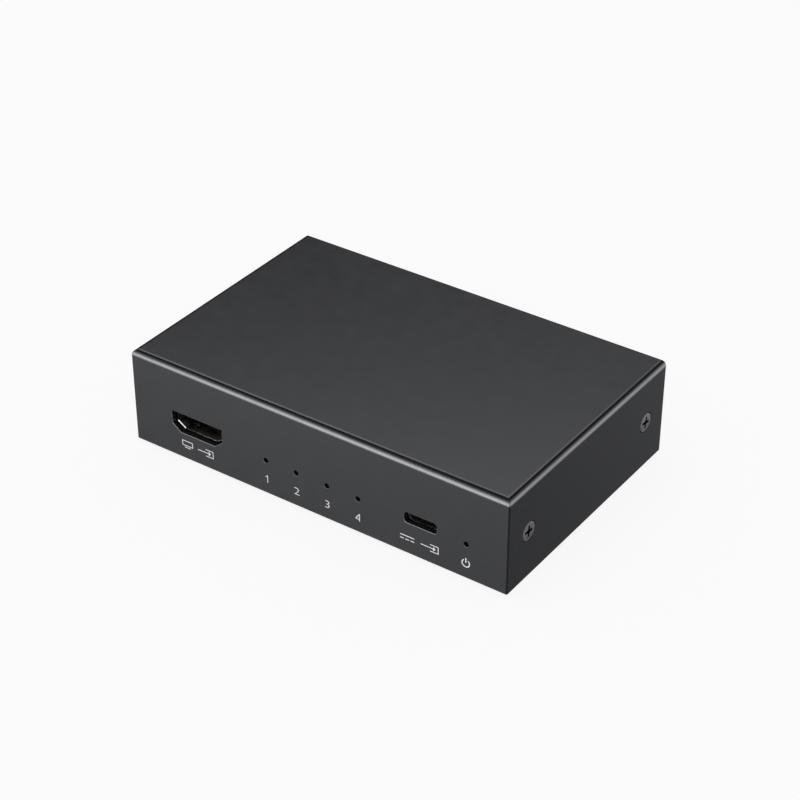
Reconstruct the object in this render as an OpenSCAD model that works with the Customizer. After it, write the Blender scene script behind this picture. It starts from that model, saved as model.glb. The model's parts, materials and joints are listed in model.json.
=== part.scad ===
// Four-way video splitter: a small coated metal case with one video input, a
// power inlet and five indicator lights on its front, and four video outputs
// on its back. A five-sided cover drops over a base plate that carries the
// circuit board, and four countersunk screws in the ends hold the two together.
// Millimetres. +Z is up, the front face looks towards -Y, and the origin lies
// below the centre of the case, on the plane that the feet rest on.

/* [Case] */
// Width of the case, left to right
body_w = 105; // [103:0.5:112]
// Depth of the case, front to back
body_d = 67.5; // [66.5:0.1:73]
// Height of the case without its feet
body_h = 24.95; // [23:0.05:30]
// Thickness of the cover's walls
wall = 1.2; // [1.15:0.05:1.3]
// Radius along the top edges of the front and the ends
edge_r = 1.6; // [0.6:0.1:2]
// Radius along the top edge of the back
back_r = 0.4; // [0.3:0.1:2]
// Radius of the four upright corners
corner_r = 0.4; // [0.3:0.1:1.2]
// Gap between the inside of the cover and the base plate
base_gap = 0.15; // [0.1:0.05:0.2]
// Thickness of the base plate and its two end flanges
base_t = 1.2; // [1:0.1:1.5]
// Height of the end flanges above the underside of the case
flange_h = 17; // [15.5:0.5:20]

/* [Feet] */
// How far the feet stand below the case
foot_h = 1.2; // [0.8:0.1:2.5]
// Diameter of a foot
foot_d = 8; // [6:0.5:10]
// Distance of the feet from the centre, left and right
foot_x = 43; // [38:0.5:44]
// Distance of the feet from the centre, front and back
foot_y = 25; // [22:0.5:26]

/* [Screws] */
// Head diameter of the countersunk screws in the ends
screw_head_d = 4.8; // [4.7:0.1:5.3]
// Thread diameter of all the screws
screw_d = 3; // [2.9:0.1:3.1]
// Length of an end screw, head included
screw_l = 6; // [5:0.5:6.5]
// Distance of the end screws from the centre, front and back
screw_y = 25.5; // [24:0.05:26]
// Height of the end screws above the underside of the case
screw_z = 12.25; // [11:0.05:12.5]

/* [Board] */
// Height of the board's upper face above the underside of the case
board_z = 7; // [6.8:0.05:7.1]
// Thickness of the board
board_t = 1.6; // [1.2:0.2:1.6]
// Width of the board
board_w = 96; // [95:0.5:97]
// Depth of the board
board_d = 62.2; // [61.8:0.1:62.6]
// Distance of the board's fixings from the centre, left and right
fix_x = 43.5; // [43:0.1:44]
// Distance of the board's fixings from the centre, front and back
fix_y = 14; // [13:0.5:15]

/* [Front] */
// Place of the video input, left of the centre
in_x = -33.5; // [-36:0.05:-31]
// Height of the video sockets' middle above the underside of the case
vid_z = 9.7; // [9.7:0.05:9.9]
// Spacing of the four channel lights
led_pitch = 8.65; // [8:0.01:9]
// Place of the middle of the four channel lights, right of the centre
led_mid_x = -0.22; // [-1:0.01:1]
// Height of the lights above the underside of the case
led_z = 9.1; // [8.9:0.05:9.2]
// Diameter of the holes that the lights show through
led_hole_d = 1.4; // [1:0.1:1.6]
// Place of the power inlet, right of the centre
pwr_x = 29.65; // [28:0.05:32]
// Height of the power inlet's middle above the underside of the case
pwr_z = 9.7; // [9.5:0.05:9.8]
// Place of the power light, right of the centre
pwr_led_x = 41.75; // [41:0.05:43]

/* [Back] */
// Spacing of the four video outputs
out_pitch = 23; // [21:0.5:24]

/* [Hidden] */
$fn = 48;

// Faces of the case
half_w = body_w / 2;
half_d = body_d / 2;
in_w = body_w - 2 * wall;
in_d = body_d - 2 * wall;
// Outside of the base plate, and the inner face of its flanges
base_w = in_w - 2 * base_gap;
base_d = in_d - 2 * base_gap;
flange_x = base_w / 2 - base_t;
// The sockets' mouths stand just behind the cover's walls, so the cover lifts off
mouth_y = half_d - wall - 0.3;
// Heights from the middle of a socket down to the board
vid_drop = vid_z - board_z;
pwr_drop = pwr_z - board_z;
led_drop = led_z - board_z;
screw_r = screw_d / 2;
// Running clearance between a screw and its thread
thread_gap = 0.05;

// Video socket: half width, top, start of the slope, bottom, half width of the
// bottom, all from the middle of the opening
VID = [7.0, 2.275, -0.75, -2.275, 4.7];
// The hole in the cover for it
VID_HOLE = [7.4, 2.6, -0.85, -2.65, 5.15];
vid_depth = 11.5;
vid_skin = 0.3;
tongue_y = 1.9;
tongue_w = 11.2;
tongue_top = 1.15;
tongue_bot = -0.65;
block_y = 8.6;
pin_w = 0.36;
pin_t = 0.16;

// Power inlet: opening, skin, depth
pwr_w = 8.34;
pwr_h = 2.56;
pwr_skin = 0.25;
pwr_depth = 7.3;
// The hole in the cover for it: width, height, corner radius
PWR_HOLE = [8.65, 2.7, 0.8];
pwr_tongue_t = 0.7;
pwr_pins = [-2.75, -1.25, -0.25, 1.25, 2.75];

LED_X = [for (i = [0:3]) led_mid_x + (i - 1.5) * led_pitch];
OUT_X = [for (i = [0:3]) (1.5 - i) * out_pitch];

// ---------------------------------------------------------------- helpers

module lift() { translate([0, 0, foot_h]) children(); }

// Flat outline in X and Z, drawn out along Y
module along_y(y0, y1) {
  translate([0, y1, 0]) rotate([90, 0, 0]) linear_extrude(y1 - y0) children();
}

// Flat outline in Y and Z, drawn out along X
module along_x(x0, x1) {
  translate([x0, 0, 0]) rotate([90, 0, 90]) linear_extrude(x1 - x0) children();
}

module rounded(w, h, r) {
  square([w - 2 * r, h], center = true);
  square([w, h - 2 * r], center = true);
  for (x = [-1, 1], y = [-1, 1])
    translate([x * (w / 2 - r), y * (h / 2 - r)]) circle(r);
}

// Upright outline with a square foot and rounded shoulders, each with its own radius
module shoulders(w, left_r, right_r) {
  translate([-w / 2, 0]) square([w / 2, body_h - left_r]);
  square([w / 2, body_h - right_r]);
  translate([-w / 2 + left_r, 0]) square([w - left_r - right_r, body_h]);
  translate([-w / 2 + left_r, body_h - left_r]) circle(left_r);
  translate([w / 2 - right_r, body_h - right_r]) circle(right_r);
}

module slot_shape(w, h) {
  square([w - h, h], center = true);
  for (x = [-1, 1]) translate([x * (w - h) / 2, 0]) circle(h / 2);
}

// Box between two corners
module block(a, b) { translate(a) cube(b - a); }

// Two crossed slots of a driver recess, cut downwards from z = 0
module cross_recess(span, arm, deep) {
  for (a = [0, 90]) rotate([0, 0, a])
    translate([-span / 2, -arm / 2, -deep]) cube([span, arm, deep + 1]);
  translate([0, 0, -deep - 0.3]) cylinder(h = deep + 1, r = arm * 0.8);
}

// Corners of a video socket's outline grown by o on every side
function vid_points(p, o) =
  let (dx = p[0] - p[4], dz = p[2] - p[3], l = sqrt(dx * dx + dz * dz),
       w = p[0] + o, c = p[2] - o * (l - dz) / dx, b = p[4] + o * (l - dx) / dz)
  [[-w, p[1] + o], [w, p[1] + o], [w, c], [b, p[3] - o], [-b, p[3] - o], [-w, c]];

module vid_shape(p, o) { polygon(vid_points(p, o)); }

// ------------------------------------------------------------------ places

module at_ends() {
  for (e = [0, 180], y = [-screw_y, screw_y]) rotate([0, 0, e])
    translate([half_w, y, screw_z]) rotate([0, 90, 0]) children();
}

module at_fixings() {
  for (x = [-fix_x, fix_x], y = [-fix_y, fix_y]) translate([x, y, 0]) children();
}

module at_input() { lift() translate([in_x, -mouth_y, vid_z]) children(); }

module at_output(i) {
  lift() translate([OUT_X[i - 1], mouth_y, vid_z]) rotate([0, 0, 180]) children();
}

module at_power() { lift() translate([pwr_x, -mouth_y, pwr_z]) children(); }

module at_led(x) { lift() translate([x, -mouth_y, led_z]) children(); }

// -------------------------------------------------------------------- case

module top_cover() {
  color([0.23, 0.23, 0.24]) lift() difference() {
    intersection() {
      linear_extrude(body_h) rounded(body_w, body_d, corner_r);
      along_y(-half_d, half_d) shoulders(body_w, edge_r, edge_r);
      along_x(-half_w, half_w) shoulders(body_d, edge_r, back_r);
    }
    translate([-in_w / 2, -in_d / 2, -1]) cube([in_w, in_d, body_h - wall + 1]);
    // front
    translate([in_x, 0, vid_z]) along_y(-half_d - 1, -in_d / 2 + 0.5) vid_shape(VID_HOLE, 0);
    translate([pwr_x, 0, pwr_z]) along_y(-half_d - 1, -in_d / 2 + 0.5) rounded(PWR_HOLE[0], PWR_HOLE[1], PWR_HOLE[2]);
    for (x = concat(LED_X, [pwr_led_x])) translate([x, -in_d / 2 + 0.5, led_z])
      rotate([90, 0, 0]) cylinder(h = wall + 2, r = led_hole_d / 2);
    // back
    for (x = OUT_X) translate([x, 0, vid_z]) along_y(in_d / 2 - 0.5, half_d + 1) vid_shape(VID_HOLE, 0);
    // ends
    at_ends() {
      translate([0, 0, -wall - 1]) cylinder(h = wall + 2, r = screw_r + 0.1);
      translate([0, 0, -screw_head_d / 2 - 0.1 + screw_r]) cylinder(h = screw_head_d / 2 + 0.1 - screw_r, r1 = screw_r, r2 = screw_head_d / 2 + 0.1);
      cylinder(h = 1, r = screw_head_d / 2 + 0.1);
    }
  }
}

// Plate bent up at both ends, with drawn collars that the end screws bite into
module base_plate() {
  outer_r = base_t + 0.3;
  color([0.22, 0.22, 0.23]) lift() difference() {
    union() {
      along_y(-base_d / 2, base_d / 2) difference() {
        union() {
          translate([-base_w / 2 + outer_r, 0]) square([base_w - 2 * outer_r, base_t]);
          for (x = [-1, 1]) translate([x * (base_w / 2 - outer_r), outer_r]) intersection() {
            circle(outer_r);
            translate([x > 0 ? 0 : -outer_r, -outer_r]) square(outer_r);
          }
        }
        for (x = [-1, 1]) translate([x * (base_w / 2 - outer_r), outer_r]) circle(0.3);
      }
      for (e = [0, 180]) rotate([0, 0, e])
        along_x(flange_x, base_w / 2) translate([0, (flange_h + outer_r) / 2]) union() {
          translate([0, -1]) square([base_d - 4, flange_h - outer_r - 2], center = true);
          square([base_d - 8, flange_h - outer_r], center = true);
          for (y = [-1, 1]) translate([y * (base_d / 2 - 4), (flange_h - outer_r) / 2 - 2]) circle(2);
        }
      at_ends() translate([0, 0, flange_x - half_w - 1.8]) cylinder(h = 2.2, r = 2.6);
    }
    at_ends() translate([0, 0, -8]) cylinder(h = 9, r = screw_r);
    at_fixings() translate([0, 0, -1]) cylinder(h = base_t + 2, r = 2.12);
  }
}

module cover_screws() {
  top = -0.06;
  cone = screw_head_d / 2 - screw_r;
  color([0.5, 0.5, 0.51]) lift() at_ends() difference() {
    rotate_extrude() polygon([
      [0, top], [screw_head_d / 2, top], [screw_r - thread_gap, top - cone - thread_gap],
      [screw_r - thread_gap, -screw_l + 0.4], [screw_r - thread_gap - 0.4, -screw_l], [0, -screw_l]]);
    translate([0, 0, top]) cross_recess(3, 0.65, 0.9);
  }
}

// Stick-on foot, a low rubber button with a chamfered rim
module foot(x, y) {
  color([0.07, 0.07, 0.07]) translate([x, y, 0]) rotate_extrude() polygon([
    [0, 0], [foot_d / 2 - 0.7, 0], [foot_d / 2 - 0.35, 0.2], [foot_d / 2, foot_h - 0.3], [foot_d / 2, foot_h], [0, foot_h]]);
}

module foot_front_left() { foot(-foot_x, -foot_y); }
module foot_front_right() { foot(foot_x, -foot_y); }
module foot_rear_left() { foot(-foot_x, foot_y); }
module foot_rear_right() { foot(foot_x, foot_y); }

// ------------------------------------------------------------------- board

// Threaded pillars riveted into the base plate
module board_standoffs() {
  under = board_z - board_t;
  color([0.72, 0.7, 0.62]) lift() at_fixings() difference() {
    union() {
      translate([0, 0, 0.05]) cylinder(h = base_t, r = 2.1);
      translate([0, 0, base_t]) cylinder(h = under - base_t, r = 2.75);
    }
    cylinder(h = under + 1, r = screw_r);
  }
}

module board_screws() {
  color([0.75, 0.75, 0.76]) lift() at_fixings() translate([0, 0, board_z]) difference() {
    rotate_extrude() polygon([
      [0, 1.9], [1.7, 1.9], [2.4, 1.6], [2.75, 1.0], [2.75, 0], [screw_r - thread_gap, 0],
      [screw_r - thread_gap, -4.4], [screw_r - 0.4, -4.8], [0, -4.8]]);
    translate([0, 0, 1.9]) cross_recess(3, 0.6, 1.1);
  }
}

// Slots in the board for the legs of one video socket, mouth towards -Y
module vid_leg_slots() {
  for (x = [-1, 1], y = [2.4, 8.4])
    translate([x * (VID[0] + vid_skin / 2) - 0.35, y - 0.9, -vid_drop - board_t - 1]) cube([0.7, 1.8, board_t + 2]);
}

module pwr_leg_slots() {
  for (x = [-1, 1], y = [1.9, 5.7])
    translate([x * (pwr_w / 2 + pwr_skin / 2) - 0.3, y - 0.7, -pwr_drop - board_t - 1]) cube([0.6, 1.4, board_t + 2]);
}

module led_lead_holes() {
  for (x = [-0.6, 0.6]) translate([x, 5.0, -led_drop - board_t - 1]) cylinder(h = board_t + 2, r = 0.4);
}

module main_board() {
  color([0.05, 0.28, 0.16]) difference() {
    lift() translate([0, 0, board_z - board_t]) linear_extrude(board_t) rounded(board_w, board_d, 1.5);
    lift() at_fixings() cylinder(h = board_z + 5, r = screw_r + 0.15);
    at_input() vid_leg_slots();
    for (i = [1:4]) at_output(i) vid_leg_slots();
    at_power() pwr_leg_slots();
    for (x = concat(LED_X, [pwr_led_x])) at_led(x) led_lead_holes();
  }
}

// Places a part on the board's upper face
module on_board(x, y) { lift() translate([x, y, board_z]) children(); }

// Flat package without leads, with its pads along the rim
module splitter_chip() {
  color([0.1, 0.1, 0.11]) on_board(0, 2) union() {
    translate([-5, -5, 0.05]) cube([10, 10, 0.85]);
    for (a = [0:90:270], i = [-9:9]) rotate([0, 0, a]) translate([i * 0.5 - 0.12, 4.5, 0]) cube([0.24, 0.6, 0.2]);
  }
}

module thermal_pad() {
  color([0.62, 0.64, 0.68]) on_board(0, 2) translate([-5.5, -5.5, 0.9]) cube([11, 11, 0.5]);
}

module heat_sink() {
  color([0.16, 0.16, 0.17]) on_board(0, 2) translate([0, 0, 1.4]) difference() {
    translate([-12, -12, 0]) cube([24, 24, 9]);
    for (i = [-3.5:1:3.5]) translate([i * 2.8 - 0.8, -13, 2.2]) cube([1.6, 26, 8]);
  }
}

// Leads that step down from a package's side to the board: count, pitch,
// lead width, reach from the middle, height at the body
module gull_leads(n, pitch, w, from, reach, h) {
  t = 0.15;
  for (i = [0:n - 1]) translate([(i - (n - 1) / 2) * pitch - w / 2, 0, 0]) {
    translate([0, from - 0.2, h]) cube([w, 0.45, t]);
    translate([0, from + 0.1, 0]) cube([w, t, h + t]);
    translate([0, from + 0.1, 0]) cube([w, reach - from - 0.1, t]);
  }
}

module control_chip() {
  color([0.12, 0.12, 0.13]) on_board(-24, -4) union() {
    difference() {
      translate([-3.5, -3.5, 0.1]) cube([7, 7, 1.4]);
      translate([-2.7, 2.7, 1.4]) cylinder(h = 1, r = 0.4);
    }
    for (a = [0:90:270]) rotate([0, 0, a]) gull_leads(12, 0.5, 0.22, 3.5, 4.5, 0.7);
  }
}

module memory_chip() {
  color([0.12, 0.12, 0.13]) on_board(-24, 8) union() {
    translate([-2.45, -1.95, 0.15]) cube([4.9, 3.9, 1.45]);
    for (a = [0, 180]) rotate([0, 0, a]) gull_leads(4, 1.27, 0.42, 1.95, 3.0, 0.8);
  }
}

// Low metal can on a plate
module clock_crystal() {
  color([0.78, 0.78, 0.8]) on_board(-16, -9) union() {
    translate([0, 0, 0.1]) linear_extrude(0.5) rounded(5.0, 3.2, 0.4);
    linear_extrude(0.15) for (x = [-1.7, 1.7], y = [-1, 1]) translate([x, y]) square([1.2, 0.9], center = true);
    translate([0, 0, 0.6]) linear_extrude(0.5) rounded(4.5, 2.7, 0.5);
  }
}

// Three leads on one side and a broad tab on the other
module regulators() {
  color([0.13, 0.13, 0.14]) for (x = [22, 32]) on_board(x, 8) union() {
    translate([-3.25, -1.75, 0.05]) cube([6.5, 3.5, 1.6]);
    rotate([0, 0, 180]) gull_leads(3, 2.3, 0.7, 1.75, 3.5, 0.8);
    gull_leads(1, 1, 3.0, 1.75, 3.5, 0.8);
  }
}

module power_inductor() {
  color([0.24, 0.24, 0.25]) on_board(22, -12) union() {
    translate([0, 0, 0.2]) linear_extrude(3.8) rounded(7, 7, 1.4);
    for (x = [-2.6, 2.6]) translate([x - 0.8, -2.5, 0]) cube([1.6, 5, 0.3]);
  }
}

// Round cans on square bases
module bulk_capacitors() {
  color([0.8, 0.8, 0.82]) for (p = [[31.5, -13], [31.5, -4], [22, -2]]) on_board(p[0], p[1]) union() {
    linear_extrude(0.9) rounded(6.6, 6.6, 0.8);
    rotate_extrude() polygon([[0, 0.8], [3.0, 0.8], [3.0, 1.5], [2.75, 1.7], [3.0, 1.9], [3.0, 5.3], [2.85, 5.5], [0, 5.5]]);
  }
}

// Rows behind the sockets, and four each side of the splitter chip
module chip_capacitors() {
  color([0.66, 0.56, 0.42]) union() {
    for (i = [-1.5:1:1.5]) {
      on_board(in_x + i * 3, -15.6) translate([-0.4, -0.8, 0]) cube([0.8, 1.6, 0.8]);
      for (x = OUT_X) on_board(x + i * 3, 15.6) translate([-0.4, -0.8, 0]) cube([0.8, 1.6, 0.8]);
      for (s = [-1, 1]) on_board(s * 7.5, 2 + i * 2.4) translate([-0.8, -0.4, 0]) cube([1.6, 0.8, 0.8]);
    }
  }
}

// One for each light, and a row beside the control chip
module chip_resistors() {
  color([0.15, 0.15, 0.16]) union() {
    for (x = concat(LED_X, [pwr_led_x - 2])) on_board(x, -23) translate([-0.8, -0.4, 0]) cube([1.6, 0.8, 0.45]);
    for (i = [-2:2]) on_board(-33, -4 + i * 2) translate([-0.8, -0.4, 0]) cube([1.6, 0.8, 0.45]);
  }
}

// Surge arrays between each video socket and its signal lines
module esd_arrays() {
  color([0.14, 0.14, 0.15]) union() {
    for (s = [-3, 3]) {
      on_board(in_x + s, -17.9) translate([-1.25, -0.5, 0]) cube([2.5, 1.0, 0.5]);
      for (x = OUT_X) on_board(x + s, 17.9) translate([-1.25, -0.5, 0]) cube([2.5, 1.0, 0.5]);
    }
  }
}

module input_fuse() {
  color([0.2, 0.42, 0.25]) on_board(pwr_x, -20.5) union() {
    translate([-1.6, -1.6, 0.05]) cube([3.2, 3.2, 0.8]);
    for (x = [-1, 1]) translate([x * 1.85 - 0.4, -1.6, 0]) cube([0.8, 3.2, 0.9]);
  }
}

// ------------------------------------------------------------ video sockets
// Each is drawn with its mouth in the plane y = 0, opening towards -Y, and its
// opening's middle at the origin.

module vid_shell() {
  color([0.78, 0.79, 0.8]) union() {
    difference() {
      along_y(0, vid_depth) difference() {
        vid_shape(VID, vid_skin);
        vid_shape(VID, 0);
      }
      // windows of the grip springs
      for (x = [-3.4, 3.4]) {
        block([x - 1.15, 2.4, VID[1] - 0.1], [x + 1.15, 8.0, VID[1] + 1]);
        block([x - 1.0, 2.4, VID[3] - 1], [x + 1.0, 8.0, VID[3] + 0.1]);
      }
    }
    // grip springs, bent inwards
    for (x = [-3.4, 3.4]) {
      along_x(x - 0.8, x + 0.8) polygon([[8.2, VID[1]], [8.2, VID[1] + 0.22], [7.6, VID[1] + 0.22], [3.6, VID[1] - 0.2], [2.7, VID[1] + 0.05], [2.7, VID[1] - 0.15], [3.6, VID[1] - 0.4], [7.6, VID[1]]]);
      along_x(x - 0.7, x + 0.7) polygon([[8.2, VID[3]], [8.2, VID[3] - 0.22], [7.6, VID[3] - 0.22], [3.6, VID[3] + 0.2], [2.7, VID[3] - 0.05], [2.7, VID[3] + 0.15], [3.6, VID[3] + 0.4], [7.6, VID[3]]]);
    }
    // legs through the board
    for (s = [-1, 1], y = [2.4, 8.4])
      translate([s * (VID[0] + vid_skin / 2) - vid_skin / 2, y - 0.7, -vid_drop - board_t - 0.8])
        cube([vid_skin, 1.4, vid_drop + board_t + 0.8 + 0.5]);
  }
}

// Contact places: ten on the upper side, nine below and between them
module vid_pin_places() {
  for (i = [-4.5:1:4.5]) translate([i, 0, 0]) rotate([0, 0, 0]) children(0);
  for (i = [-4:1:4]) translate([i, 0, 0]) children(1);
}

// Path of one contact, seen from the side: along the tongue, out at the back,
// down to the board and out to a soldered foot
module vid_pin(z0, z1, g) {
  yb = vid_depth;
  translate([-pin_w / 2 - g, 0, 0]) {
    block([0, tongue_y + 0.5 - g, z0 - g], [pin_w + 2 * g, yb + 0.2, z1 + g]);
    block([0, yb, -vid_drop], [pin_w + 2 * g, yb + 0.2, z1 + g]);
    block([0, yb, -vid_drop], [pin_w + 2 * g, yb + 1.2, -vid_drop + 0.2]);
  }
}

module vid_insulator() {
  color([0.06, 0.06, 0.065]) difference() {
    union() {
      along_y(block_y, vid_depth) vid_shape(VID, -0.03);
      difference() {
        block([-tongue_w / 2, tongue_y, tongue_bot], [tongue_w / 2, block_y + 0.5, tongue_top]);
        // bevelled leading edges of the tongue
        along_x(-tongue_w, tongue_w) polygon([[tongue_y - 1, tongue_top + 1], [tongue_y - 1, tongue_top - 1.4], [tongue_y + 0.4, tongue_top], [tongue_y + 0.4, tongue_top + 1]]);
        along_x(-tongue_w, tongue_w) polygon([[tongue_y - 1, tongue_bot - 1], [tongue_y - 1, tongue_bot + 1.4], [tongue_y + 0.4, tongue_bot], [tongue_y + 0.4, tongue_bot - 1]]);
      }
    }
    vid_pin_places() {
      block([-pin_w / 2 - 0.02, block_y - 1, tongue_top], [pin_w / 2 + 0.02, vid_depth + 1, tongue_top + pin_t + 0.02]);
      block([-pin_w / 2 - 0.02, block_y - 1, tongue_bot - pin_t - 0.02], [pin_w / 2 + 0.02, vid_depth + 1, tongue_bot]);
    }
  }
}

module vid_contacts() {
  color([0.85, 0.68, 0.35]) vid_pin_places() {
    vid_pin(tongue_top, tongue_top + pin_t, 0);
    vid_pin(tongue_bot - pin_t, tongue_bot, 0);
  }
}

module video_input_shell() { at_input() vid_shell(); }
module video_input_insulator() { at_input() vid_insulator(); }
module video_input_contacts() { at_input() vid_contacts(); }
module video_output_1_shell() { at_output(1) vid_shell(); }
module video_output_1_insulator() { at_output(1) vid_insulator(); }
module video_output_1_contacts() { at_output(1) vid_contacts(); }
module video_output_2_shell() { at_output(2) vid_shell(); }
module video_output_2_insulator() { at_output(2) vid_insulator(); }
module video_output_2_contacts() { at_output(2) vid_contacts(); }
module video_output_3_shell() { at_output(3) vid_shell(); }
module video_output_3_insulator() { at_output(3) vid_insulator(); }
module video_output_3_contacts() { at_output(3) vid_contacts(); }
module video_output_4_shell() { at_output(4) vid_shell(); }
module video_output_4_insulator() { at_output(4) vid_insulator(); }
module video_output_4_contacts() { at_output(4) vid_contacts(); }

// ------------------------------------------------------------- power inlet

module power_inlet_shell() {
  color([0.78, 0.79, 0.8]) at_power() union() {
    along_y(0, pwr_depth) difference() {
      slot_shape(pwr_w + 2 * pwr_skin, pwr_h + 2 * pwr_skin);
      slot_shape(pwr_w, pwr_h);
    }
    // legs through the board, one pair each side
    for (s = [-1, 1], y = [1.9, 5.7])
      translate([s * (pwr_w / 2 + pwr_skin / 2) - pwr_skin / 2, y - 0.5, -pwr_drop - board_t - 0.7])
        cube([pwr_skin, 1.0, pwr_drop + board_t + 0.7]);
  }
}

// Back block and tongue inside the shell, and a pedestal under it
module power_inlet_insulator() {
  low = -pwr_h / 2 - pwr_skin;
  color([0.06, 0.06, 0.065]) at_power() difference() {
    union() {
      along_y(5.3, pwr_depth + 0.4) slot_shape(pwr_w - 0.04, pwr_h - 0.04);
      block([-3.35, 1.0, -pwr_tongue_t / 2], [3.35, 5.5, pwr_tongue_t / 2]);
      block([-3.4, pwr_depth + 0.02, -pwr_drop], [3.4, pwr_depth + 0.9, 0.8]);
      block([-3.4, 0.6, -pwr_drop], [3.4, pwr_depth + 0.5, low - 0.01]);
    }
    for (x = pwr_pins, s = [-1, 1])
      block([x - 0.16, 5.2, s > 0 ? pwr_tongue_t / 2 : -pwr_tongue_t / 2 - 0.12], [x + 0.16, pwr_depth + 2, s > 0 ? pwr_tongue_t / 2 + 0.12 : -pwr_tongue_t / 2]);
  }
}

module power_inlet_contacts() {
  color([0.85, 0.68, 0.35]) at_power() for (x = pwr_pins) {
    block([x - 0.15, 1.3, pwr_tongue_t / 2], [x + 0.15, pwr_depth + 0.8, pwr_tongue_t / 2 + 0.1]);
    // the lower row goes on down to the board
    block([x - 0.15, 1.3, -pwr_tongue_t / 2 - 0.1], [x + 0.15, pwr_depth + 1.05, -pwr_tongue_t / 2]);
    block([x - 0.15, pwr_depth + 0.9, -pwr_drop], [x + 0.15, pwr_depth + 1.05, -pwr_tongue_t / 2]);
    block([x - 0.15, pwr_depth + 0.9, -pwr_drop], [x + 0.15, pwr_depth + 1.9, -pwr_drop + 0.12]);
  }
}

// ------------------------------------------------------------------ lights
// Small round lights lying towards the front, each in an angled holder. The
// lens ends just behind the hole in the cover.

module led(x) {
  color([0.85, 0.88, 0.86]) at_led(x) union() {
    rotate([-90, 0, 0]) rotate_extrude() union() {
      intersection() {
        translate([0, 0.95]) circle(0.9);
        translate([0, 0]) square([2, 0.95]);
      }
      translate([0, 0.9]) square([0.9, 2.1]);
      translate([0, 2.9]) square([1.15, 0.5]);
    }
    for (s = [-0.6, 0.6]) {
      translate([s - 0.2, 3.2, -0.2]) cube([0.4, 2.0, 0.4]);
      translate([s - 0.2, 4.8, -led_drop - board_t - 0.8]) cube([0.4, 0.4, led_drop + board_t + 1.0]);
    }
  }
}

module led_holder(x) {
  color([0.05, 0.05, 0.055]) at_led(x) difference() {
    union() {
      block([-1.5, 3.42, -led_drop], [1.5, 4.75, 1.4]);
      block([-1.5, 1.2, -led_drop], [1.5, 3.5, -1.2]);
    }
    for (s = [-0.6, 0.6]) translate([s - 0.22, 3, -0.22]) cube([0.44, 3, 0.44]);
  }
}

module channel_led_1() { led(LED_X[0]); }
module channel_led_2() { led(LED_X[1]); }
module channel_led_3() { led(LED_X[2]); }
module channel_led_4() { led(LED_X[3]); }
module power_led() { led(pwr_led_x); }
module channel_led_1_holder() { led_holder(LED_X[0]); }
module channel_led_2_holder() { led_holder(LED_X[1]); }
module channel_led_3_holder() { led_holder(LED_X[2]); }
module channel_led_4_holder() { led_holder(LED_X[3]); }
module power_led_holder() { led_holder(pwr_led_x); }

// ---------------------------------------------------------------- assembly

top_cover();
base_plate();
cover_screws();
foot_front_left();
foot_front_right();
foot_rear_left();
foot_rear_right();
board_standoffs();
board_screws();
main_board();
splitter_chip();
thermal_pad();
heat_sink();
control_chip();
memory_chip();
clock_crystal();
regulators();
power_inductor();
bulk_capacitors();
chip_capacitors();
chip_resistors();
esd_arrays();
input_fuse();
video_input_shell();
video_input_insulator();
video_input_contacts();
video_output_1_shell();
video_output_1_insulator();
video_output_1_contacts();
video_output_2_shell();
video_output_2_insulator();
video_output_2_contacts();
video_output_3_shell();
video_output_3_insulator();
video_output_3_contacts();
video_output_4_shell();
video_output_4_insulator();
video_output_4_contacts();
power_inlet_shell();
power_inlet_insulator();
power_inlet_contacts();
channel_led_1();
channel_led_2();
channel_led_3();
channel_led_4();
power_led();
channel_led_1_holder();
channel_led_2_holder();
channel_led_3_holder();
channel_led_4_holder();
power_led_holder();
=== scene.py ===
"""Looks of a small metal video splitter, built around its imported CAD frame.

Lengths below are in millimetres and heights are measured from the underside of
the case; LIFT raises them onto the feet. Objects are made in metres.
"""
import json
import math

import bmesh
import bpy
from mathutils import Matrix, Vector


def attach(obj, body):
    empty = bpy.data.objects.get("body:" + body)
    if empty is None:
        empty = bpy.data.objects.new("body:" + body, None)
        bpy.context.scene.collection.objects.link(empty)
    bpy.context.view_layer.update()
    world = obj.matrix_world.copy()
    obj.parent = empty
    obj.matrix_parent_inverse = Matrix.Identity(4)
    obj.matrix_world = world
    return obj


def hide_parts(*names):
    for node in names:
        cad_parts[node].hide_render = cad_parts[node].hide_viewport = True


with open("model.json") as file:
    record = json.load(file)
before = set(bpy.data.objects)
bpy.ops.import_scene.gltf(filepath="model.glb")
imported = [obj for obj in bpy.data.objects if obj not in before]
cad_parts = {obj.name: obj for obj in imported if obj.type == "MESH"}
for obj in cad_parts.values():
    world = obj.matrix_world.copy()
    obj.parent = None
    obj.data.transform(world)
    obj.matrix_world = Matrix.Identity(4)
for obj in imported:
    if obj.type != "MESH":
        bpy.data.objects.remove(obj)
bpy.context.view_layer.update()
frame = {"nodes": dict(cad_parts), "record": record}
NODES = frame["nodes"]
SCENE = bpy.context.scene

MM = 0.001
W, D, H = 105.0, 67.5, 24.95
LIFT = 1.2
WALL = 1.2
EDGE_R, BACK_R, CORNER_R = 1.6, 0.4, 0.4
HX, HY = W / 2, D / 2
SCREW_Y, SCREW_Z, SCREW_R = 25.5, 12.25, 2.4
IN_X, VID_Z = -33.5, 9.7
OUT_X = [34.5, 11.5, -11.5, -34.5]
PWR_X, PWR_Z = 29.65, 9.7
LED_X = [(i - 1.5) * 8.65 - 0.22 for i in range(4)]
PWR_LED_X, LED_Z, LED_R = 41.75, 9.1, 0.69
MOUTH_Y = HY - WALL - 0.3
# the video opening and the hole in the cover for it, anticlockwise in X and Z
VID = [(-7.0, -0.75), (-4.7, -2.275), (4.7, -2.275), (7.0, -0.75), (7.0, 2.275), (-7.0, 2.275)]
VID_HOLE = [(-7.4, -0.85), (-5.15, -2.65), (5.15, -2.65), (7.4, -0.85), (7.4, 2.6), (-7.4, 2.6)]


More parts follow.
